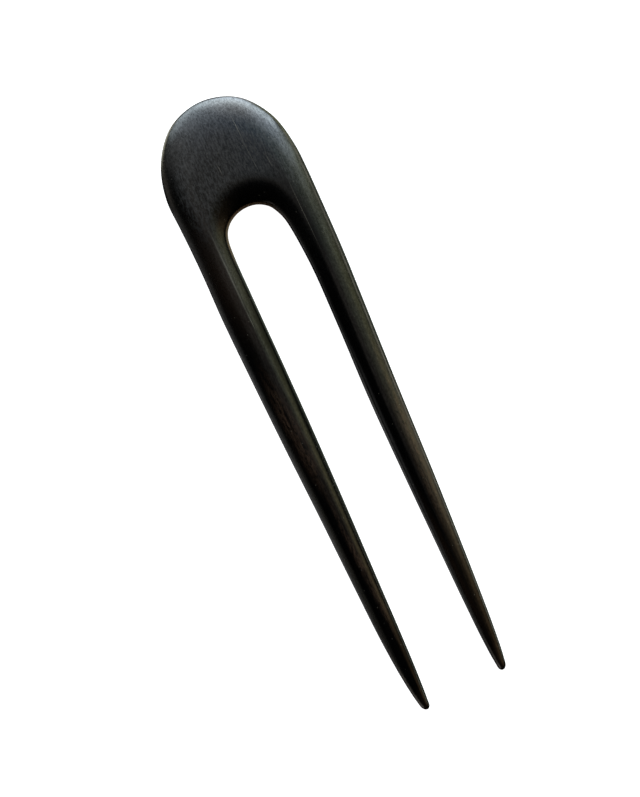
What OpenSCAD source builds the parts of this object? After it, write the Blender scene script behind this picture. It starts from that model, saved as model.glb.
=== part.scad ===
// Hair fork carved from one piece of ebony: an oval head and two long tapering prongs.
// It lies flat, with its thickness along Z, its head towards +Y and its tips towards -Y.
// The origin is at the middle of the outline, on the plane that the underside rests on.

/* [Outline] */
// Length from the top of the head to the longer tip
length = 150; // [120:1:180]
// Width of the head where it is widest
width = 32.8; // [27:0.1:40]

/* [Thickness] */
// Thickness through the middle of the head
head_thick = 7; // [5:0.1:9]
// Thickness of a prong at its root, where it leaves the head
root_thick = 6.4; // [4.4:0.1:8.4]
// Thickness of a prong at its tip, before the point is rounded
tip_thick = 1.9; // [1.4:0.1:3]
// How the prongs thin from root to tip: 1 is a straight wedge, less keeps them full for longer
taper = 0.6; // [0.4:0.05:1]

/* [Rounding] */
// Width of the rounding along the rim, on the head
rim_round = 10; // [4:0.5:12]
// Width of the rounding along the slot, on the head
slot_round = 6; // [4:0.5:12]
// Fullness of the rim's rounding: 2 is a quarter of an ellipse, less is leaner
rim_fullness = 1.8; // [1.6:0.1:3]
// Fullness of the slot's rounding, in the same way
slot_fullness = 1.6; // [1.5:0.1:3]
// Share of its height at which the slot's wall stands upright near the root, below its bevel
slot_wall = 0.4; // [0:0.05:0.6]
// Width over which the edge of that wall is eased
wall_ease = 0.8; // [0.4:0.1:1.5]
// Fall of the head's face from its middle to the rim, as a share of its height there
dome = 0.3; // [0:0.05:0.4]
// Place of the left prong's ridge across its width: 0 is at the rim and 1 at the slot
left_ridge = 0.64; // [0.5:0.02:0.7]
// Place of the right prong's ridge, in the same way
right_ridge = 0.54; // [0.5:0.02:0.7]
// Length of the rounded point of each prong
nose = 1.2; // [0.8:0.1:2]
// Depth planed off the underside, which gives the flat that it rests on
planed = 0.15; // [0.05:0.01:0.3]

/* [Fineness] */
// Sections drawn from one row of the tables to the next
steps = 4; // [2:1:4]
// Points drawn on each quarter of a section
quarter = 8; // [4:1:10]

/* [Hidden] */

// Size of the outline as the tables give it, which width and length stretch
table_length = 150;
table_width = 32.8;
widen = width / table_width;
lengthen = length / table_length;

// Tips of the prongs, and the centre of the slot's round end, along Y
left_tip_y = -75;
right_tip_y = -73.85;
slot_end_y = 41.1;

// Sections across a prong: distance from the tip, distance of the middle from the fork's axis, width
FROM_TIP = 0;
MIDDLE = 1;
WIDE = 2;
left_prong = [
    [0, 9.86, 1.85],
    [nose, 10.01, 2.15],
    [4, 10.2, 2.9],
    [9, 10.41, 3.85],
    [18, 10.66, 4.9],
    [32, 10.82, 5.75],
    [50, 10.94, 6.7],
    [70, 11.2, 7.76],
    [88, 11.46, 8.36],
    [102, 11.66, 8.62]
];
right_prong = [
    [0, 9.98, 1.85],
    [nose, 10.06, 2.12],
    [4, 10.12, 2.8],
    [9, 10.2, 3.6],
    [18, 10.36, 4.5],
    [32, 10.59, 5.5],
    [50, 10.86, 6.6],
    [70, 11.12, 7.42],
    [91, 11.79, 7.82],
    [105, 12.07, 8.36]
];

// Sections across the head, along rays from the centre of the slot's round end:
// angle from the fork's axis, radius of the slot, radius of the rim
ANGLE = 0;
SLOT_R = 1;
RIM_R = 2;
head = [
    [-90, 7.24, 15.89],
    [-75, 7.27, 16.54],
    [-60, 7.41, 18.65],
    [-45, 7.41, 23.08],
    [-30, 7.33, 28.2],
    [-15, 7.28, 32.48],
    [0, 7.26, 33.9],
    [15, 7.27, 32.55],
    [30, 7.22, 28.13],
    [45, 7.12, 22.71],
    [60, 6.89, 18.9],
    [75, 6.88, 16.96],
    [90, 7.03, 16.36]
];

// Share of a section that the roundings leave blunt on each side of the ridge
blunt_share = 0.02;

// The slot's wall stands upright from here towards the root: where it begins, where it is whole
wall_begins_y = 0;
wall_whole_y = 14;

// Width of the section where the face falls by the whole of the dome. A narrower one falls by less.
domed_width = 26.6;

// The smaller of two widths, with a soft change from one to the other
function soft_min(a, b) = pow(pow(a, -4) + pow(b, -4), -1 / 4);

// A station is the slot edge's x and y, the rim edge's x and y, and the thickness and the place
// of the ridge there
function prong_station(row, side, tip_y) =
    let (
        slot_x = side * (row[MIDDLE] - row[WIDE] / 2) * widen,
        rim_x = side * (row[MIDDLE] + row[WIDE] / 2) * widen,
        y = (tip_y + row[FROM_TIP]) * lengthen,
        share = row[FROM_TIP] / (slot_end_y - tip_y),
        thick = tip_thick + (root_thick - tip_thick) * pow(share, taper)
    )
    [slot_x, y, rim_x, y, thick, side < 0 ? left_ridge : right_ridge];

function head_station(row) =
    let (
        across = sin(row[ANGLE]) * widen,
        along = cos(row[ANGLE]) * lengthen,
        end_y = slot_end_y * lengthen,
        thick = root_thick + (head_thick - root_thick) * cos(row[ANGLE])
    )
    [
        row[SLOT_R] * across, end_y + row[SLOT_R] * along,
        row[RIM_R] * across, end_y + row[RIM_R] * along,
        thick,
        left_ridge + (right_ridge - left_ridge) * (row[ANGLE] + 90) / 180
    ];

// Stations in one run: up the left prong, round the head and down the right prong
stations = [
    for (row = left_prong) prong_station(row, -1, left_tip_y),
    for (row = head) head_station(row),
    for (i = [len(right_prong) - 1:-1:0]) prong_station(right_prong[i], 1, right_tip_y)
];
last = len(stations) - 1;

// Distance between the middles of one station and the next
function centre(station) = [station[0] + station[2], station[1] + station[3]] / 2;
function run(i) = norm(centre(stations[i + 1]) - centre(stations[i]));

// Change of a station for each millimetre along the run
function secant(i) = (stations[i + 1] - stations[i]) / run(i);
function slope(i) =
    i == 0 ? secant(0)
    : i == last ? secant(last - 1)
    : (secant(i - 1) * run(i) + secant(i) * run(i - 1)) / (run(i - 1) + run(i));

// Smooth curve from station i to the next, where t goes from 0 to 1
function between(i, t) =
    let (rise = t * t * (3 - 2 * t))
    stations[i] * (1 - rise) + stations[i + 1] * rise
    + slope(i) * run(i) * t * (1 - t) * (1 - t)
    - slope(i + 1) * run(i) * t * t * (1 - t);

// Places of the sections between two stations, closer together towards a tip
function place(i, k) =
    i == 0 ? 1 - cos(90 * k / steps)
    : i == last - 1 ? sin(90 * k / steps)
    : k / steps;

sections = [
    for (i = [0:last - 1]) for (k = [0:steps - 1]) if (i + k > 0) between(i, place(i, k))
];

// How far a section is drawn in by the rounding of the point: 0 at the tip, 1 past the nose
function blunting(section) =
    let (
        tip_y = (section[0] < 0 ? left_tip_y : right_tip_y) * lengthen,
        short = 1 - min(1, (section[1] - tip_y) / (nose * lengthen))
    )
    sqrt(1 - short * short);

// Points of a quarter of a section: how far in from its edge, and how high
function quarter_points(fullness) = [
    for (j = [0:quarter])
        let (angle = 90 * j / quarter)
        [1 - pow(cos(angle), 2 / fullness), pow(sin(angle), 2 / fullness)]
];
rim_points = quarter_points(rim_fullness);
slot_points = quarter_points(slot_fullness);

// Height of a point p of the slot's quarter, once the wall below the bevel stands upright
function walled(p, slot_w, y) =
    let (
        t = min(1, max(0, (y / lengthen - wall_begins_y) / (wall_whole_y - wall_begins_y))),
        whole = t * t * (3 - 2 * t),
        short = 1 - min(1, p[0] * slot_w / wall_ease),
        wall = slot_wall * sqrt(1 - short * short),
        bevel = (1 - slot_wall) * (1 - pow(1 - p[0], slot_fullness))
    )
    p[1] * (1 - whole) + (wall + bevel) * whole;

// One closed section: the rim's quarter and the slot's quarter on top, then the same below
function ring(section) =
    let (
        slot_edge = [section[0], section[1]],
        rim_edge = [section[2], section[3]],
        wide = norm(slot_edge - rim_edge),
        inward = (slot_edge - rim_edge) / wide,
        blunt = blunting(section),
        rim_w = soft_min(rim_round, (section[5] - blunt_share) * wide),
        slot_w = soft_min(slot_round, (1 - section[5] - blunt_share) * wide),
        half = section[4] / 2,
        fall = dome * pow(wide / domed_width, 2),
        rim_side = [for (p = rim_points) [rim_w * p[0] - wide / 2, p[1]]],
        y = centre(section)[1],
        slot_side = [for (p = slot_points) [wide / 2 - slot_w * p[0], walled(p, slot_w, y)]],
        rounded = concat(rim_side, [for (j = [quarter:-1:0]) slot_side[j]]),
        top = [for (p = rounded) [p[0], p[1] * (1 - fall * pow(2 * min(p[0], 0) / wide, 2))]],
        count = len(top),
        profile = concat(top, [for (j = [count - 2:-1:1]) [top[j][0], -top[j][1]]])
    )
    [
        for (p = profile)
            let (flat = centre(section) + inward * p[0] * blunt)
            [flat[0], flat[1], half * (1 + p[1] * blunt)]
    ];

function tip_point(station) = [centre(station)[0], station[1], station[4] / 2];

module carved_fork() {
    rings = [for (section = sections) ring(section)];
    around = len(rings[0]);
    count = len(rings);
    points = [
        for (r = rings) each r,
        tip_point(stations[0]),
        tip_point(stations[last])
    ];
    first_tip = count * around;
    last_tip = first_tip + 1;
    walls = [
        for (i = [0:count - 2], j = [0:around - 1])
            let (
                a = i * around + j,
                b = i * around + (j + 1) % around,
                c = a + around,
                d = b + around
            )
            each [[a, d, b], [a, c, d]]
    ];
    caps = [
        for (j = [0:around - 1])
            let (next = (j + 1) % around, end = (count - 1) * around)
            each [[first_tip, j, next], [last_tip, end + next, end + j]]
    ];
    polyhedron(points = points, faces = concat(walls, caps), convexity = 4);
}

module hair_fork() {
    plane_size = 2 * (length + width);
    color("#23201d") translate([0, 0, -planed]) difference() {
        carved_fork();
        translate([-plane_size / 2, -plane_size / 2, planed - head_thick])
            cube([plane_size, plane_size, head_thick]);
    }
}

hair_fork();
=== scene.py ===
"""A hair fork carved from one piece of ebony: its finished wood, floor, light and camera.

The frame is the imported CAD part's own, in metres: the fork lies flat, its head points to +Y,
its tips to -Y, and its underside rests on z = 0. The fork's sizes are in millimetres, which MM
turns to metres, and those of the floor and the lights are in metres.
"""

import math
from collections import namedtuple

import bmesh
import bpy
import numpy as np
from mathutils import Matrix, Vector, noise


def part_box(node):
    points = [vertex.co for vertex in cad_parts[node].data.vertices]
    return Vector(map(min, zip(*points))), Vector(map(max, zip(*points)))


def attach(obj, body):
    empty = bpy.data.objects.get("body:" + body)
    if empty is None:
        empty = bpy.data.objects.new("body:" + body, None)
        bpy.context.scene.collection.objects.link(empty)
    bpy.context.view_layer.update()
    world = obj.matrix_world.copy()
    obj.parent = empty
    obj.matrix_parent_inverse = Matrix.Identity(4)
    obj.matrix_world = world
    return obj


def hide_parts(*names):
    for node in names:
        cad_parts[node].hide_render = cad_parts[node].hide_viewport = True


MM = 0.001

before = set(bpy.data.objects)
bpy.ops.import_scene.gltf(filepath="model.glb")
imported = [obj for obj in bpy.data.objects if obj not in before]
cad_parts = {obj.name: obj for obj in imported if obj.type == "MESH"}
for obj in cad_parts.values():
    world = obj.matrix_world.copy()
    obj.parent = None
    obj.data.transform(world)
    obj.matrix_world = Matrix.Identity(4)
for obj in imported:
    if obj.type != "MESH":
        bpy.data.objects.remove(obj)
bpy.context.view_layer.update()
fork_low, fork_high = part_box("hair_fork")

# Size of the outline in millimetres as the tables give it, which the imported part's size stretches
BLANK_LENGTH = 150.0
BLANK_WIDTH = 32.806
WIDEN = (fork_high[0] - fork_low[0]) / (BLANK_WIDTH * MM)
LENGTHEN = (fork_high[1] - fork_low[1]) / (BLANK_LENGTH * MM)

# Where the tips and the centre of the slot's round end lie, and the length of a rounded point
LEFT_TIP_Y = -75.0
RIGHT_TIP_Y = -73.85
SLOT_END_Y = 41.1
NOSE = 1.2

# A section across a prong: distance from its tip, distance of its middle from the axis, width
ProngRow = namedtuple("ProngRow", "from_tip middle wide")
LEFT_PRONG = [
    ProngRow(0, 9.86, 1.85),
    ProngRow(NOSE, 10.01, 2.15),
    ProngRow(4, 10.2, 2.9),
    ProngRow(9, 10.41, 3.85),
    ProngRow(18, 10.66, 4.9),
    ProngRow(32, 10.82, 5.75),
    ProngRow(50, 10.94, 6.7),
    ProngRow(70, 11.2, 7.76),
    ProngRow(88, 11.46, 8.36),
    ProngRow(102, 11.66, 8.62),
]
RIGHT_PRONG = [
    ProngRow(0, 9.98, 1.85),
    ProngRow(NOSE, 10.06, 2.12),
    ProngRow(4, 10.12, 2.8),
    ProngRow(9, 10.2, 3.6),
    ProngRow(18, 10.36, 4.5),
    ProngRow(32, 10.59, 5.5),
    ProngRow(50, 10.86, 6.6),
    ProngRow(70, 11.12, 7.42),
    ProngRow(91, 11.79, 7.82),
    ProngRow(105, 12.07, 8.36),
]

# A section across the head, along a ray from the centre of the slot's round end:
# the ray's angle from the axis, and the radius of the slot and of the rim along it
HeadRow = namedtuple("HeadRow", "angle slot_r rim_r")
HEAD = [
    HeadRow(-90, 7.24, 15.89),
    HeadRow(-75, 7.27, 16.54),
    HeadRow(-60, 7.41, 18.65),
    HeadRow(-45, 7.41, 23.08),
    HeadRow(-30, 7.33, 28.2),
    HeadRow(-15, 7.28, 32.48),
    HeadRow(0, 7.26, 33.9),
    HeadRow(15, 7.27, 32.55),
    HeadRow(30, 7.22, 28.13),
    HeadRow(45, 7.12, 22.71),
    HeadRow(60, 6.89, 18.9),
    HeadRow(75, 6.88, 16.96),
    HeadRow(90, 7.03, 16.36),
]

# Thickness in millimetres at the head, at the roots of the prongs and at their tips
HEAD_THICK = 7.0
ROOT_THICK = 6.4
TIP_THICK = 1.9

# How the prongs thin: 1 is a straight wedge, less keeps them full for longer
TAPER = 0.6

# Depth planed off the underside, which gives the flat that it rests on
PLANED = 0.15

# Width of the rounding along the rim and along the slot, on the head
RIM_ROUND = 10.0
SLOT_ROUND = 6.0

# Where the ridge lies across each prong, from 0 at the rim to 1 at the slot, and the share of a
# section that the roundings leave blunt on each side of it
LEFT_RIDGE = 0.64
RIGHT_RIDGE = 0.54
BLUNT_SHARE = 0.02

# Fullness of each rounding: 2 is a quarter of an ellipse, less is leaner
RIM_FULLNESS = 1.8
SLOT_FULLNESS = 1.6

# Near the root, the slot's wall stands upright for a share of the half thickness, with its edge
# eased over this width, and a bevel runs from there up to the face
SLOT_WALL = 0.4
WALL_EASE = 0.8

# Where that wall begins on a prong, and where it is whole
WALL_BEGINS_Y = 0.0
WALL_WHOLE_Y = 14.0

# Fall of the face from its middle to the rim, as a share of its height, and the width of the
# section that falls by the whole of it. A narrower one falls by less.
DOME = 0.3
DOMED_WIDTH = 26.6

# The knife and file leave the surface slightly uneven: depth and size of the waves in millimetres
WAVE_DEPTH = 0.07
WAVE_ACROSS = 6.0
WAVE_ALONG = 11.0

# How finely the fork is drawn: sections to a row, and columns over an edge and along the face
STEPS = 6
OVER_EDGE = 13
ALONG_FACE = 6
COLUMNS = 2 * OVER_EDGE + ALONG_FACE

# Thickness of the slab in millimetres before its two faces are carved
SLAB_THICK = 1.0

# Points nearer than this, in millimetres, are one point where the two faces meet at an edge
SEAM = 0.0002

# How sharply the smaller of two widths takes over from the other
SHARPNESS = 4


def soft_min(a, b):
    """The smaller of two widths, with a soft change from one to the other."""
    return (a**-SHARPNESS + b**-SHARPNESS) ** (-1 / SHARPNESS)


def prong_station(row, side, tip_y):
    """Slot edge, rim edge, thickness and place of the ridge of a section across a prong."""
    share = row.from_tip / (SLOT_END_Y - tip_y)
    thick = TIP_THICK + (ROOT_THICK - TIP_THICK) * share**TAPER
    y = (tip_y + row.from_tip) * LENGTHEN
    slot_x = side * (row.middle - row.wide / 2) * WIDEN
    rim_x = side * (row.middle + row.wide / 2) * WIDEN
    ridge = LEFT_RIDGE if side < 0 else RIGHT_RIDGE
    return np.array([slot_x, y, rim_x, y, thick, ridge])


def head_station(row):
    """Slot edge, rim edge, thickness and place of the ridge of a section across the head."""
    across = math.sin(math.radians(row.angle)) * WIDEN
    along = math.cos(math.radians(row.angle)) * LENGTHEN
    end_y = SLOT_END_Y * LENGTHEN
    thick = ROOT_THICK + (HEAD_THICK - ROOT_THICK) * math.cos(math.radians(row.angle))
    return np.array([
        row.slot_r * across, end_y + row.slot_r * along,
        row.rim_r * across, end_y + row.rim_r * along,
        thick, LEFT_RIDGE + (RIGHT_RIDGE - LEFT_RIDGE) * (row.angle + 90) / 180,
    ])


def all_stations():
    """The rows in one run: up the left prong, round the head and down the right prong."""
    left = [prong_station(row, -1, LEFT_TIP_Y) for row in LEFT_PRONG]
    right = [prong_station(row, 1, RIGHT_TIP_Y) for row in RIGHT_PRONG]
    return left + [head_station(row) for row in HEAD] + right[::-1]


def centre(section):
    return (section[0:2] + section[2:4]) / 2


def smooth_sections(stations):
    """Sections on one smooth curve through the stations, closer together at each tip."""
    last = len(stations) - 1
    runs = [np.linalg.norm(centre(stations[i + 1]) - centre(stations[i])) for i in range(last)]
    secants = [(stations[i + 1] - stations[i]) / runs[i] for i in range(last)]
    slopes = [secants[0]]
    for i in range(1, last):
        weighted = secants[i - 1] * runs[i] + secants[i] * runs[i - 1]
        slopes.append(weighted / (runs[i - 1] + runs[i]))
    slopes.append(secants[-1])
    sections = []
    for i in range(last):
        for k in range(STEPS):
            t = k / STEPS
            if i == 0:
                t = 1 - math.cos(math.pi / 2 * k / STEPS)
            if i == last - 1:
                t = math.sin(math.pi / 2 * k / STEPS)
            rise = t * t * (3 - 2 * t)
            sections.append(
                stations[i] * (1 - rise) + stations[i + 1] * rise
                + slopes[i] * runs[i] * t * (1 - t) ** 2
                - slopes[i + 1] * runs[i] * t * t * (1 - t)
            )
    sections.append(stations[last])
    return sections


def blunting(section):
    """How far a section is drawn in by the rounded point: 0 at the tip, 1 past the nose."""
    tip_y = LEFT_TIP_Y if section[0] < 0 else RIGHT_TIP_Y
    short = 1 - min(1.0, (section[1] / LENGTHEN - tip_y) / NOSE)
    return math.sqrt(max(0.0, 1 - short * short))


def rounding(column, fullness):
    """How far in from the edge, and how high, a column lies on the quarter that turns over it."""
    angle = math.pi / 2 * min(1.0, column / OVER_EDGE)
    return 1 - math.cos(angle) ** (2 / fullness), math.sin(angle) ** (2 / fullness)


def stand_wall(depth, height, slot_w, y):
    """Height of a column over the slot's edge, where the wall stands upright below its bevel."""
    t = min(1.0, max(0.0, (y / LENGTHEN - WALL_BEGINS_Y) / (WALL_WHOLE_Y - WALL_BEGINS_Y)))
    whole = t * t * (3 - 2 * t)
    eased = math.sqrt(1 - (1 - min(1.0, depth * slot_w / WALL_EASE)) ** 2)
    bevel = 1 - (1 - depth) ** SLOT_FULLNESS
    walled = SLOT_WALL * eased + (1 - SLOT_WALL) * bevel
    return height + (walled - height) * whole


def place_on_section(section, across, face):
    """Point of the carved surface, where across runs from 0 at the rim to 1 at the slot."""
    slot_edge, rim_edge = section[0:2], section[2:4]
    wide = float(np.linalg.norm(slot_edge - rim_edge))
    inward = (slot_edge - rim_edge) / wide
    ridge = float(section[5])
    rim_w = soft_min(RIM_ROUND, (ridge - BLUNT_SHARE) * wide)
    slot_w = soft_min(SLOT_ROUND, (1 - ridge - BLUNT_SHARE) * wide)
    column = across * COLUMNS
    if column <= OVER_EDGE:
        depth, height = rounding(column, RIM_FULLNESS)
        along = rim_w * depth - wide / 2
    elif column >= COLUMNS - OVER_EDGE:
        depth, height = rounding(COLUMNS - column, SLOT_FULLNESS)
        height = stand_wall(depth, height, slot_w, centre(section)[1])
        along = wide / 2 - slot_w * depth
    else:
        height = 1.0
        face_width = wide - rim_w - slot_w
        along = rim_w - wide / 2 + face_width * (column - OVER_EDGE) / ALONG_FACE
    height *= 1 - DOME * (wide / DOMED_WIDTH) ** 2 * (2 * min(along, 0) / wide) ** 2
    blunt = blunting(section)
    plan = centre(section) + inward * along * blunt
    half = section[4] / 2
    # The noise runs from -1 to 1, and the waves only take wood away
    wave = noise.noise(Vector((plan[0] / WAVE_ACROSS, plan[1] / WAVE_ALONG, face)))
    height *= 1 - WAVE_DEPTH / half * (1 + wave) / 2
    up = max(0.0, half * (1 + face * height * blunt) - PLANED)
    return Vector((plan[0], plan[1], up)) * MM


def start_edit():
    bpy.ops.object.mode_set(mode="EDIT")


def end_edit():
    bpy.ops.object.mode_set(mode="OBJECT")


def saw_blank(sections):
    """The outline as a ribbon of faces, drawn out edge by edge from the left tip to the right.

    Each point is marked with its section's number and its side, 0 at the rim and 1 at the slot.
    """
    bpy.ops.object.select_all(action="DESELECT")
    bpy.ops.mesh.primitive_plane_add(size=MM)
    blank = bpy.context.object
    blank.name = blank.data.name = "carved_fork"
    start_edit()
    mesh = bmesh.from_edit_mesh(blank.data)
    run_mark = mesh.verts.layers.float.new("run")
    side_mark = mesh.verts.layers.float.new("side")
    mesh.verts.ensure_lookup_table()
    edges = [(Vector((*s[2:4], 0)) * MM, Vector((*s[0:2], 0)) * MM) for s in sections]
    for corner, place in enumerate((*edges[0], *edges[1])):
        mesh.verts[corner].co = place
    for vert in mesh.verts:
        vert[run_mark] = vert.index // 2
        vert[side_mark] = vert.index % 2
        vert.select_set(vert.index >= 2)
    mesh.select_flush_mode()
    bmesh.update_edit_mesh(blank.data)
    for number in range(2, len(edges)):
        (rim_was, slot_was), (rim, slot) = edges[number - 1], edges[number]
        middle = (rim + slot) / 2
        was, now = slot_was - rim_was, slot - rim
        step = middle - (rim_was + slot_was) / 2
        turn = math.atan2(was.x * now.y - was.y * now.x, was.dot(now))
        bpy.ops.mesh.extrude_region_move(TRANSFORM_OT_translate={"value": step})
        # Without a window, transform.rotate turns the other way
        bpy.ops.transform.rotate(value=-turn, orient_axis="Z", center_override=middle)
        bpy.ops.transform.resize(value=(now.length / was.length,) * 3, center_override=middle)
        mesh = bmesh.from_edit_mesh(blank.data)
        run_mark = mesh.verts.layers.float["run"]
        for vert in mesh.verts:
            if vert.select:
                vert[run_mark] = number
    end_edit()
    return blank


def rule_columns(blank):
    """Cuts the ribbon lengthwise into the columns of points that will turn over each edge.

    The side mark of a new point says how far it lies across from the rim to the slot.
    """
    start_edit()
    bpy.ops.mesh.select_mode(type="EDGE")
    bpy.ops.mesh.select_all(action="DESELECT")
    mesh = bmesh.from_edit_mesh(blank.data)
    side_mark = mesh.verts.layers.float["side"]
    for edge in mesh.edges:
        rim_or_slot = {round(vert[side_mark]) for vert in edge.verts}
        edge.select_set(len(rim_or_slot) == 2)
    bmesh.update_edit_mesh(blank.data)
    bpy.ops.mesh.subdivide(number_cuts=COLUMNS - 1)
    end_edit()


def thicken(blank):
    """The ribbon becomes a slab, whose upper and lower faces are then carved."""
    start_edit()
    bpy.ops.mesh.select_mode(type="FACE")
    bpy.ops.mesh.select_all(action="SELECT")
    bpy.ops.mesh.extrude_region_move(TRANSFORM_OT_translate={"value": (0, 0, SLAB_THICK * MM)})
    end_edit()


def carve(blank, sections):
    """Every point of the slab moved onto the carved surface, and the seams closed."""
    start_edit()
    mesh = bmesh.from_edit_mesh(blank.data)
    run_mark = mesh.verts.layers.float["run"]
    side_mark = mesh.verts.layers.float["side"]
    for vert in mesh.verts:
        face = 1 if vert.co.z > SLAB_THICK * MM / 2 else -1
        section = sections[round(vert[run_mark])]
        vert.co = place_on_section(section, vert[side_mark], face)
    bmesh.update_edit_mesh(blank.data)
    bpy.ops.mesh.select_all(action="SELECT")
    bpy.ops.mesh.remove_doubles(threshold=SEAM * MM)
    bpy.ops.mesh.normals_make_consistent(inside=False)
    bpy.ops.mesh.select_all(action="DESELECT")
    end_edit()


def sand(blank):
    """Smooths the facets that the carving leaves."""
    bpy.ops.object.select_all(action="DESELECT")
    blank.select_set(True)
    bpy.context.view_layer.objects.active = blank
    smooth = blank.modifiers.new("sanding", "SUBSURF")
    smooth.levels = smooth.render_levels = 1
    bpy.ops.object.modifier_apply(modifier="sanding")
    bpy.ops.object.shade_smooth()


def linear(hex_colour):
    """An sRGB hex colour as the linear RGBA that the shaders take."""
    channels = [int(hex_colour[i:i + 2], 16) / 255 for i in (1, 3, 5)]
    return [c / 12.92 if c <= 0.04045 else ((c + 0.055) / 1.055) ** 2.4 for c in channels] + [1.0]


def add_node(tree, kind, settings=None, inputs=None):
    """Adds a shader node with its settings and inputs.

    An input is a value, a socket to link, or a node, whose first output is linked.
    """
    node = tree.nodes.new(kind)
    for name, value in (settings or {}).items():
        setattr(node, name, value)
    for name, value in (inputs or {}).items():
        if isinstance(value, bpy.types.Node):
            value = value.outputs[0]
        if isinstance(value, bpy.types.NodeSocket):
            tree.links.new(value, node.inputs[name])
        else:
            node.inputs[name].default_value = value
    return node


def new_material(name):
    material = bpy.data.materials.new(name)
    material.use_nodes = True
    material.node_tree.nodes.clear()
    return material, material.node_tree


# Settings of the nodes that fade smoothly from one value to another, add and multiply
SMOOTH = {"interpolation_type": "SMOOTHSTEP"}
ADDED = {"operation": "ADD"}
MULTIPLIED = {"operation": "MULTIPLY"}
MULTIPLIED_AND_ADDED = {"operation": "MULTIPLY_ADD"}

# Figure of the wood: size of its features across and along the grain, in millimetres, how many
# finer layers they have, and their place in the noise. The grain runs down the fork. Fibres and
# pores are drawn coarser than the real ones, which are 0.02 and 0.1 mm wide and would not show.
Figure = namedtuple("Figure", "across along detail seed")
BROWN_STREAKS = Figure(0.8, 9, 3, 3.0)
FIBRES = Figure(0.3, 3.2, 2, 17.0)
SANDING = Figure(0.4, 0.62, 2, 41.0)
CLOUDS = Figure(5, 9, 2, 11.0)
DRIED_OIL = Figure(0.38, 1.4, 4, 53.0)
PORES = Figure(0.7, 2.6, 0, 7.0)
SPECKS = Figure(1.2, 1.2, 0, 29.0)

# How strongly each finer layer of a figure shows, as a share of the one before
FINER_SHARE = 0.65

# Width of a pore and of a speck in millimetres, and the share of the places that have one
PORE_WIDTH = 0.28
PORE_SHARE = 0.3
SPECK_WIDTH = 0.34
SPECK_SHARE = 0.35

# Where a figure shows: not at all at the first level, and wholly at the second
STREAKS_SHOW = (0.3, 0.55)
STREAKS_BREAK_UP = (0.3, 0.6)
FILM_SHOWS = (0.3, 0.7)
CLOUDS_SHOW = (0.35, 0.65)
HAZE_AND_PAINTED_SHEEN_SHOWS = (0.43, 0.59)

# Depth in millimetres of what the finger just feels
FIBRE_DEPTH = 0.01
SANDING_DEPTH = 0.016
PORE_DEPTH = 0.012
SCRATCH_DEPTH = 0.015

# The oil lies as a film: how much of it there is everywhere, how much more the fibres and the
# sanding marks carry, and how much the pores lose
FILM_EVERYWHERE = 0.12
FILM_ON_FIBRES = 0.38
FILM_ON_SANDING = 0.45
FILM_LOST_IN_PORES = 0.5
FILM_ROUGHNESS = 0.2

# The wood below the film mirrors less than most surfaces do, whose level is 0.5
WOOD_SPECULAR = 0.2

# Roughness of the sheen: on the prongs, which hair has polished, and what the head has more, what
# the sanding adds at most and what its uneven patches add. The polish is whole up to the first of
# the two lines and gone from the second.
PRONG_ROUGHNESS = 0.12
HEAD_DULLER = 0.1
SANDING_DULLER = 0.1
PATCH_DULLER = 0.04
POLISHED_TO_Y = 15
DULL_FROM_Y = 45

# Colours of the wood and of what lies on it, and of painted light: the edge grey and sky blue are
# painted reflections, the haze is partly painted sheen and the faint brown at the tips is painted
# light
HEARTWOOD = "#020202"
FAINT_BROWN_AND_PAINTED_LIGHT = "#160f0a"
PAINTED_EDGE_REFLECTION = "#292723"
PAINTED_SKY_REFLECTION = "#060c12"
HAZE_AND_PAINTED_SHEEN = "#252525"
BROWN = "#372a21"
PALE_BROWN_WALL = "#8a6c4c"
PALE_SPECK_AND_HIGHLIGHT = "#4c4841"

# A mark is an ellipse along the grain: its middle, its size and its lean off the grain in degrees
Mark = namedtuple("Mark", "x y across along lean")

# Where the heartwood is streaked with brown, and where it has only a cast of it. The two marks at
# the tips are painted light on the rounded points, which catch none.
BROWN_MARKS = [
    Mark(-11.4, -4, 5.0, 44, 3.5),
    Mark(-10.0, -38, 2.2, 54, 2.0),
    Mark(12.7, -17, 4.2, 72, -2.2),
]
FAINT_BROWN_AND_PAINTED_LIGHT_MARKS = [
    Mark(-11.5, 36, 10, 50, 0),
    Mark(9.4, -48, 2.4, 60, 1.0),
    Mark(-9.9, -74, 3.4, 14, 0),
    Mark(10.1, -72, 3.4, 18, 0),
]

# Where a blue tint is painted on the head's face: a painted reflection of the sky
PAINTED_SKY_REFLECTION_MARKS = [Mark(7.5, 60, 21, 23, 0)]

# Where the slot's wall is a paler brown: below this height, fading over this much
PALE_BROWN_WALL_MARKS = [Mark(-1.5, 43, 20, 19, 0)]
PALE_WALL_HEIGHT = 4.8
PALE_WALL_FADES_OVER = 0.4

# Painted reflections and highlights: grey along the prongs' edges and on the left prong's ridge
PAINTED_EDGE_REFLECTION_MARKS = [
    Mark(-13.05, -33, 1.9, 96, 2.0),
    Mark(13.2, -18, 1.8, 76, -2.4),
    Mark(-10.0, 38, 1.6, 26, 0),
    Mark(7.95, -50, 1.6, 56, 1.2),
]

# Painted shade in the scoop and beside the slot: the oil's film and its haze are left out there,
# and the wood stays black
PAINTED_SHADE_MARKS = [
    Mark(2.5, 41, 34, 38, 0),
    Mark(11.4, 36, 5.5, 26, 0),
    Mark(8.2, 20, 4.2, 62, 0),
    Mark(-8.4, 19, 2.4, 44, 0),
    Mark(-9.5, -58, 2.0, 40, 2.0),
]

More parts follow.
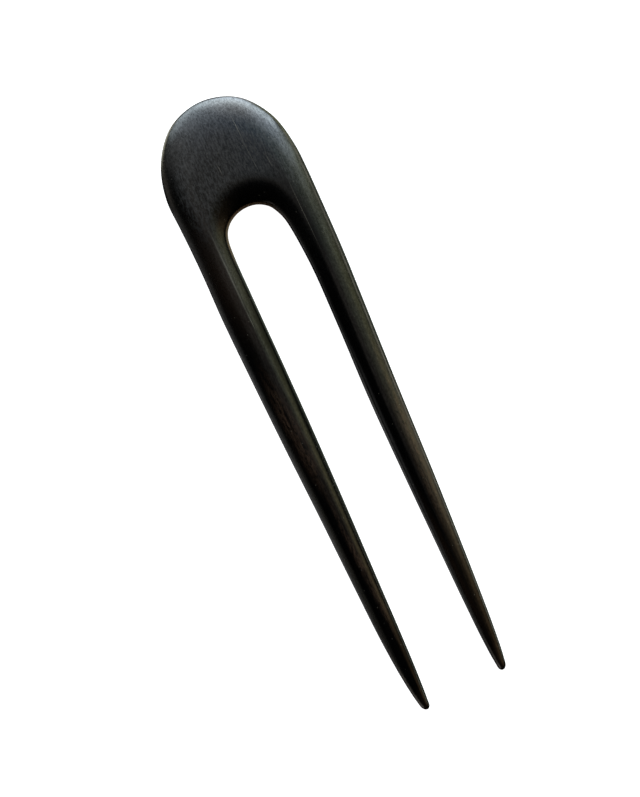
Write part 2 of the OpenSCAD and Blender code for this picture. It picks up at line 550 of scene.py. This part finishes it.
# Light scratches along the grain. The last one is a painted highlight on the crest of the left
# prong's ridge.
SCRATCHES_AND_RIDGE_HIGHLIGHT = [
    Mark(5.3, 65.3, 0.28, 9.5, 2.2),
    Mark(5.5, 58.2, 0.13, 12.0, 3.9),
    Mark(11.2, 41.5, 0.18, 24.0, 1.1),
    Mark(8.9, 55.5, 0.22, 5.0, 5.0),
    Mark(-2.2, 58.0, 0.22, 4.0, 4.0),
    Mark(-9.9, 24.0, 0.22, 8.0, 1.0),
    Mark(-10.05, 36.0, 0.6, 30.0, 0.5),
]

# A grey haze on the face of the head, above this height and past this line: dried oil, and
# painted sheen where that face catches light from above. None is left at the first of these shares
# of a painted shade mark, and all of it is at the second.
HAZE_AND_PAINTED_SHEEN_FROM_HEIGHT = 5.6
HAZE_AND_PAINTED_SHEEN_WHOLE_HEIGHT = 6.4
HAZE_AND_PAINTED_SHEEN_FROM_Y = 40
HAZE_AND_PAINTED_SHEEN_WHOLE_Y = 52
HAZE_AND_PAINTED_SHEEN_IN_SHADE = (0.35, 0.1)


def grain(tree, place, figure, texture="ShaderNodeTexNoise"):
    """A texture with features of a figure's size, drawn out along the grain."""
    across = 1 / (figure.across * MM)
    along = 1 / (figure.along * MM)
    in_features = add_node(
        tree, "ShaderNodeMapping", None,
        {"Vector": place, "Location": (figure.seed,) * 3, "Scale": (across, along, across)},
    )
    return add_node(
        tree, texture, None,
        {
            "Vector": in_features,
            "Scale": 1.0,
            "Detail": figure.detail,
            "Roughness": FINER_SHARE,
        },
    )


def dots(tree, place, figure, wide, share):
    """Dots or dashes, one in a share of the cells: 1 in their middle and 0 outside."""
    cells = grain(tree, place, figure, "ShaderNodeTexVoronoi")
    near = add_node(
        tree, "ShaderNodeMapRange", SMOOTH,
        {"Value": cells.outputs["Distance"], "From Min": wide / figure.across / 2, "From Max": 0.0},
    )
    chance = add_node(tree, "ShaderNodeSeparateColor", None, {"Color": cells.outputs["Color"]})
    chosen = add_node(tree, "ShaderNodeMath", {"operation": "LESS_THAN"}, {0: chance, 1: share})
    return add_node(tree, "ShaderNodeMath", MULTIPLIED, {0: near, 1: chosen})


def marks(tree, place, table):
    """Where any mark of a table lies: 1 in its middle, fading to 0 at its edge."""
    nearest = 1.0
    for mark in table:
        on_mark = add_node(
            tree, "ShaderNodeMapping", {"vector_type": "TEXTURE"},
            {
                "Vector": place,
                "Location": (mark.x * MM, mark.y * MM, 0),
                "Rotation": (0, 0, math.radians(mark.lean)),
                "Scale": (mark.across / 2 * MM, mark.along / 2 * MM, 1),
            },
        )
        away = add_node(tree, "ShaderNodeVectorMath", {"operation": "LENGTH"}, {0: on_mark})
        nearest = add_node(
            tree, "ShaderNodeMath", {"operation": "MINIMUM"},
            {0: away.outputs["Value"], 1: nearest},
        )
    return add_node(
        tree, "ShaderNodeMapRange", SMOOTH, {"Value": nearest, "From Min": 1.0, "From Max": 0.0},
    )


def build_up(tree, setting, start, layers):
    """Layer upon layer, added to a start or multiplied with it.

    A layer is its source, the value of it that leaves nothing, the value that leaves it whole
    and, where that isn't 1, how much it is when whole.
    """
    built = start
    for source, nothing, whole, *most in layers:
        layer = add_node(
            tree, "ShaderNodeMapRange", SMOOTH,
            {
                "Value": source,
                "From Min": nothing,
                "From Max": whole,
                "To Max": most[0] if most else 1.0,
            },
        )
        built = add_node(tree, "ShaderNodeMath", setting, {0: built, 1: layer})
    return built


def oiled_ebony():
    """Ebony heartwood, carved, sanded fine and rubbed with oil.

    It looks near black, with brown streaks along the grain where it isn't black all through. The
    oil gives a satin sheen, which the pores, the fibres and the last sanding marks break up. On the
    head's upper face a grey haze is partly painted sheen, the film is taken out as painted shade in
    the scoop and beside the slot, and the slot's wall is paler brown low down. Grey painted
    reflections and highlights run along the prongs' edges and ridge, a painted blue sky reflection
    lies on the head, and painted light lifts the tips.
    """
    material, tree = new_material("oiled_ebony")
    place = add_node(tree, "ShaderNodeTexCoord").outputs["Object"]
    where = add_node(tree, "ShaderNodeSeparateXYZ", None, {"Vector": place}).outputs
    streaks = grain(tree, place, BROWN_STREAKS)
    fibres = grain(tree, place, FIBRES)
    sanding = grain(tree, place, SANDING)
    clouds = grain(tree, place, CLOUDS)
    dried_oil = grain(tree, place, DRIED_OIL)
    pores = dots(tree, place, PORES, PORE_WIDTH, PORE_SHARE)
    specks = dots(tree, place, SPECKS, SPECK_WIDTH, SPECK_SHARE)
    scratches_and_ridge_highlight = marks(tree, place, SCRATCHES_AND_RIDGE_HIGHLIGHT)
    painted_shade = marks(tree, place, PAINTED_SHADE_MARKS)

    brown = build_up(
        tree, MULTIPLIED, marks(tree, place, BROWN_MARKS),
        [(streaks, *STREAKS_SHOW), (dried_oil, *STREAKS_BREAK_UP)],
    )
    pale_wall = build_up(
        tree, MULTIPLIED, marks(tree, place, PALE_BROWN_WALL_MARKS),
        [(where["Z"], PALE_WALL_HEIGHT * MM, (PALE_WALL_HEIGHT - PALE_WALL_FADES_OVER) * MM)],
    )
    haze_and_painted_sheen = build_up(
        tree, MULTIPLIED, 1.0,
        [
            (where["Z"], HAZE_AND_PAINTED_SHEEN_FROM_HEIGHT * MM, HAZE_AND_PAINTED_SHEEN_WHOLE_HEIGHT * MM),
            (where["Y"], HAZE_AND_PAINTED_SHEEN_FROM_Y * MM, HAZE_AND_PAINTED_SHEEN_WHOLE_Y * MM),
            (dried_oil, *HAZE_AND_PAINTED_SHEEN_SHOWS),
            (painted_shade, *HAZE_AND_PAINTED_SHEEN_IN_SHADE),
        ],
    )
    pale = add_node(tree, "ShaderNodeMath", {"operation": "MAXIMUM"}, {0: specks, 1: scratches_and_ridge_highlight})
    # Layers over the black wood: its own colours, and painted light, reflections and sheen
    colour = linear(HEARTWOOD)
    for over, share in (
        (FAINT_BROWN_AND_PAINTED_LIGHT, marks(tree, place, FAINT_BROWN_AND_PAINTED_LIGHT_MARKS)),
        (PAINTED_EDGE_REFLECTION, marks(tree, place, PAINTED_EDGE_REFLECTION_MARKS)),
        (PAINTED_SKY_REFLECTION, marks(tree, place, PAINTED_SKY_REFLECTION_MARKS)),
        (HAZE_AND_PAINTED_SHEEN, haze_and_painted_sheen),
        (BROWN, brown),
        (PALE_BROWN_WALL, pale_wall),
        (PALE_SPECK_AND_HIGHLIGHT, pale),
    ):
        colour = add_node(
            tree, "ShaderNodeMixRGB", None,
            {"Fac": share, "Color1": colour, "Color2": linear(over)},
        )

    roughness = build_up(
        tree, ADDED, PRONG_ROUGHNESS,
        [
            (where["Y"], POLISHED_TO_Y * MM, DULL_FROM_Y * MM, HEAD_DULLER),
            (sanding, *FILM_SHOWS, SANDING_DULLER),
            (clouds, *CLOUDS_SHOW, PATCH_DULLER),
        ],
    )
    rubbed_in = build_up(
        tree, ADDED, FILM_EVERYWHERE,
        [(fibres, *FILM_SHOWS, FILM_ON_FIBRES), (sanding, *FILM_SHOWS, FILM_ON_SANDING)],
    )
    film = add_node(
        tree, "ShaderNodeMath", MULTIPLIED_AND_ADDED,
        {0: pores, 1: -FILM_LOST_IN_PORES, 2: rubbed_in},
    )
    # The oil's film is taken out in the painted shade, where the scoop and the slot's sides stay
    # black
    outside_painted_shade = add_node(tree, "ShaderNodeMath", {"operation": "SUBTRACT"}, {0: 1.0, 1: painted_shade})
    relief = 0.0
    for feature, height in (
        (fibres, FIBRE_DEPTH),
        (sanding, SANDING_DEPTH),
        (pores, -PORE_DEPTH),
        (scratches_and_ridge_highlight, SCRATCH_DEPTH),
    ):
        relief = add_node(
            tree, "ShaderNodeMath", MULTIPLIED_AND_ADDED, {0: feature, 1: height * MM, 2: relief},
        )
    shader = add_node(
        tree, "ShaderNodeBsdfPrincipled", None,
        {
            "Base Color": colour,
            "Roughness": roughness,
            "Specular IOR Level": WOOD_SPECULAR,
            "Coat Weight": add_node(tree, "ShaderNodeMath", MULTIPLIED, {0: film, 1: outside_painted_shade}),
            "Coat Roughness": FILM_ROUGHNESS,
            "Normal": add_node(
                tree, "ShaderNodeBump", None, {"Height": relief, "Strength": 1.0, "Distance": 1.0},
            ),
        },
    )
    add_node(tree, "ShaderNodeOutputMaterial", None, {"Surface": shader})
    return material


# Opal acrylic: its own grey, its satin surface and how brightly it is lit from below
OPAL_GREY = "#b8b8b8"
OPAL_ROUGHNESS = 0.6
OPAL_SPECULAR = 0.2
OPAL_GLOW = 1.1
WHITE = "#ffffff"


def lit_opal():
    """Opal acrylic of a light table: an even white glow, with no more than a breath of shadow."""
    material, tree = new_material("lit_opal")
    shader = add_node(
        tree, "ShaderNodeBsdfPrincipled", None,
        {
            "Base Color": linear(OPAL_GREY),
            "Roughness": OPAL_ROUGHNESS,
            "Specular IOR Level": OPAL_SPECULAR,
            "Emission Color": linear(WHITE),
            "Emission Strength": OPAL_GLOW,
        },
    )
    add_node(tree, "ShaderNodeOutputMaterial", None, {"Surface": shader})
    return material


sections = smooth_sections(all_stations())
fork = saw_blank(sections)
rule_columns(fork)
thicken(fork)
carve(fork, sections)
sand(fork)
fork.data.materials.append(oiled_ebony())
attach(fork, "root")
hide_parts("hair_fork")

FLOOR_SIZE = 3.0
bpy.ops.mesh.primitive_plane_add(size=FLOOR_SIZE)
floor = bpy.context.object
floor.name = floor.data.name = "floor"
floor.data.materials.append(lit_opal())

# The tent's own glow from below stands for the lit table, so the floor doesn't show in the
# fork's sheen and doesn't hold that glow back
floor.visible_glossy = False
floor.visible_shadow = False

# The camera looks straight down, turned so that the head lies towards the upper left. At the
# height of AIM, the picture's longer side covers PICTURE_HEIGHT.
CAMERA_TURN = math.radians(24.35)
LENS = 50.0
SENSOR = 36.0
PICTURE_HEIGHT = 183.64 * MM
AIM = Vector((-2.85, 1.24, 3.5)) * MM
NEAREST_SEEN = 10 * MM
bpy.ops.object.camera_add(location=AIM + Vector((0, 0, PICTURE_HEIGHT * LENS / SENSOR)))
camera = bpy.context.object
camera.rotation_euler = (0, 0, -CAMERA_TURN)
camera.data.lens = LENS
camera.data.sensor_width = SENSOR
camera.data.clip_start = NEAREST_SEEN
bpy.context.scene.camera = camera


def way_to(azimuth, elevation):
    """Direction from the fork. Azimuth 0 is past the top of the picture, 90 past its right."""
    a = math.radians(azimuth) + CAMERA_TURN
    e = math.radians(elevation)
    return Vector((math.sin(a) * math.cos(e), math.cos(a) * math.cos(e), math.sin(e)))


# Tints of the light: what comes through the window, off the tent's cloth and off the bench
DAYLIGHT = "#e8f8ff"
SKY = "#deeeff"
DEEP_SKY = "#8dc2ff"
CLOTH = "#fcfcfa"
CREAM = "#fff4e6"
STRAW = "#fffde4"
LEAF = "#efffe4"
LEMON = "#f9fdc4"
AMBER = "#ffd29b"

# Soft panels aimed at the fork: the way to each, its size in metres and how bright it is, where
# white paper in full light is 1
Softbox = namedtuple("Softbox", "name azimuth elevation wide high brightness colour")
SOFTBOX_DISTANCE = 0.4
SOFTBOXES = [
    Softbox("window", 0, 12, 0.4, 0.165, 7.1, DAYLIGHT),
    Softbox("window_left", -42, 12, 0.15, 0.15, 2.9, DAYLIGHT),
    Softbox("window_right", 40, 12, 0.13, 0.15, 1.0, LEAF),
    Softbox("bench_right", 66, -6, 0.5, 0.09, 1.95, STRAW),
]

# The glow of the tent round the table: the way to each patch, how wide it spreads in degrees and
# how bright it is in its middle
Glow = namedtuple("Glow", "azimuth elevation spread brightness colour")
TENT = [
    Glow(66, -50, 42, 0.33, LEAF),
    Glow(-120, -20, 22, 0.7, CLOTH),
    Glow(-60, -20, 22, 3.2, STRAW),
    Glow(0, -20, 22, 2.0, CLOTH),
    Glow(30, -20, 22, 1.1, LEMON),
    Glow(-150, 3, 20, 1.3, CREAM),
    Glow(-120, 3, 20, 0.35, CLOTH),
    Glow(-90, 3, 20, 0.4, CREAM),
    Glow(-30, 3, 20, 4.7, DAYLIGHT),
    Glow(0, 3, 20, 6.1, SKY),
    Glow(-55, 26, 25, 0.5, CLOTH),
    Glow(-28, 26, 25, 2.2, SKY),
    Glow(0, 26, 25, 2.6, CLOTH),
    Glow(30, 26, 25, 3.9, SKY),
    Glow(60, 26, 25, 0.85, LEMON),
    Glow(90, 26, 25, 0.5, AMBER),
    Glow(-45, 52, 30, 0.65, CLOTH),
    Glow(0, 52, 30, 0.45, DEEP_SKY),
    Glow(45, 52, 30, 0.6, LEAF),
    Glow(90, 52, 30, 0.15, AMBER),
    Glow(-15, 78, 28, 0.3, CREAM),
]

for box in SOFTBOXES:
    way = way_to(box.azimuth, box.elevation)
    bpy.ops.object.light_add(type="AREA", location=AIM + way * SOFTBOX_DISTANCE)
    light = bpy.context.object
    light.name = light.data.name = box.name
    light.rotation_mode = "QUATERNION"
    light.rotation_quaternion = way.to_track_quat("Z", "Y")
    light.data.shape = "RECTANGLE"
    light.data.size, light.data.size_y = box.wide, box.high
    # The watts that give a panel of this area its brightness
    light.data.energy = box.brightness * math.pi * box.wide * box.high
    light.data.color = linear(box.colour)[:3]
    light.visible_camera = False

# The tent lights the fork, and the camera sees plain white past the floor
world = bpy.data.worlds.new("light_tent")
world.use_nodes = True
tree = world.node_tree
tree.nodes.clear()
outwards = add_node(tree, "ShaderNodeTexCoord").outputs["Generated"]
total = (0, 0, 0)
for glow in TENT:
    towards = add_node(
        tree, "ShaderNodeVectorMath", {"operation": "DOT_PRODUCT"},
        {0: outwards, 1: way_to(glow.azimuth, glow.elevation)},
    )
    falloff = add_node(
        tree, "ShaderNodeMapRange", SMOOTH,
        {
            "Value": towards.outputs["Value"],
            "From Min": math.cos(math.radians(glow.spread)),
            "From Max": 1.0,
            "To Max": glow.brightness,
        },
    )
    patch = add_node(
        tree, "ShaderNodeVectorMath", {"operation": "SCALE"},
        {0: linear(glow.colour)[:3], "Scale": falloff},
    )
    total = add_node(tree, "ShaderNodeVectorMath", ADDED, {0: patch, 1: total})
either = add_node(
    tree, "ShaderNodeMixShader", None,
    {
        0: add_node(tree, "ShaderNodeLightPath").outputs["Is Camera Ray"],
        1: add_node(tree, "ShaderNodeBackground", None, {"Color": total}),
        2: add_node(tree, "ShaderNodeBackground", None, {"Color": linear(WHITE)}),
    },
)
add_node(tree, "ShaderNodeOutputWorld", None, {"Surface": either})
bpy.context.scene.world = world
bpy.context.scene.view_settings.view_transform = "Standard"
